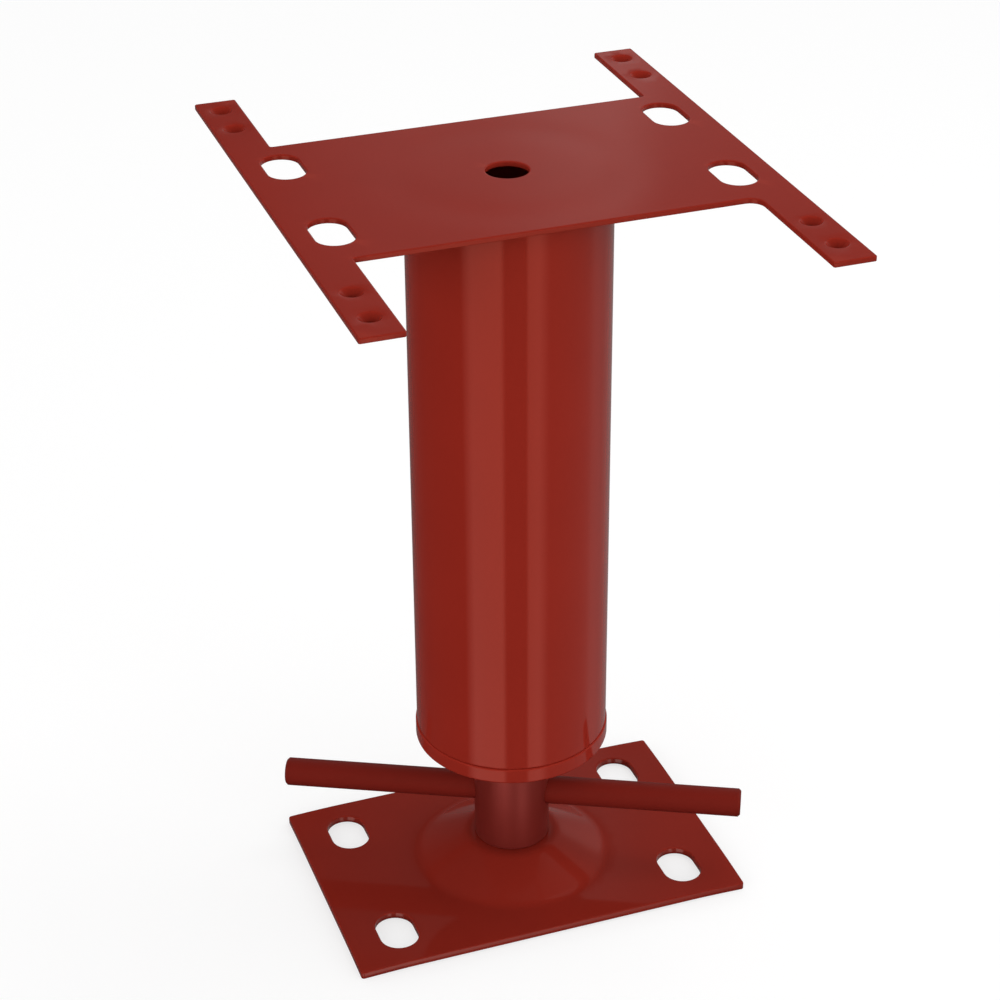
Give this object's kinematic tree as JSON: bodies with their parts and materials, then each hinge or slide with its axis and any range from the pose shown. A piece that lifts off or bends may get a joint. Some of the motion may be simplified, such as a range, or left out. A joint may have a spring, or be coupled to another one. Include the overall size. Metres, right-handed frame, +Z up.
{
  "type": "adjustable steel jack post",
  "caption": "Adjustable steel post: a round tube under a notched nailing plate, raised by a screw with a turning bar on a domed base plate.",
  "frame": {"origin": "on the floor, in the common axis of tube, screw and base plate", "axes": "+Z up along the tube; X along the long side of the base plate and across the top plate's ears; -Y towards the longer pair of ears"},
  "size_m": [0.1794, 0.2159, 0.3066],
  "materials": {
    "top_plate_paint": "satin red-oxide paint",
    "tube_paint": "glossy red-oxide paint",
    "base_paint": "glossy red-oxide paint",
    "screw_paint": "satin red-oxide paint over turned steel",
    "bar_paint": "satin red-oxide paint",
    "inner_steel": "bare, lightly oiled"
  },
  "bodies": {
    "foot": {"base_plate": "base_paint"},
    "screw": {"lift_screw": "screw_paint", "turning_bar": "bar_paint", "retaining_washer": "inner_steel"},
    "post": {"top_plate": "top_plate_paint", "top_weld": "top_plate_paint", "outer_tube": "tube_paint", "bearing_disc": "tube_paint", "lift_nut": "inner_steel", "nut_weld": "inner_steel"}
  },
  "joints": [
    {"name": "screw_turn", "type": "hinge", "parent": "foot", "child": "screw", "pos_m": [0, 0, 0], "axis": [0, 0, -1], "range_deg": [0, 5760]},
    {"name": "post_lift", "type": "slide", "parent": "foot", "child": "post", "axis": [0, 0, 1], "range_m": [0, 0.1016]}
  ],
  "couplings": [
    {"joint": "post_lift", "follows": "screw_turn", "m_per_rad": 0.0010106}
  ]
}
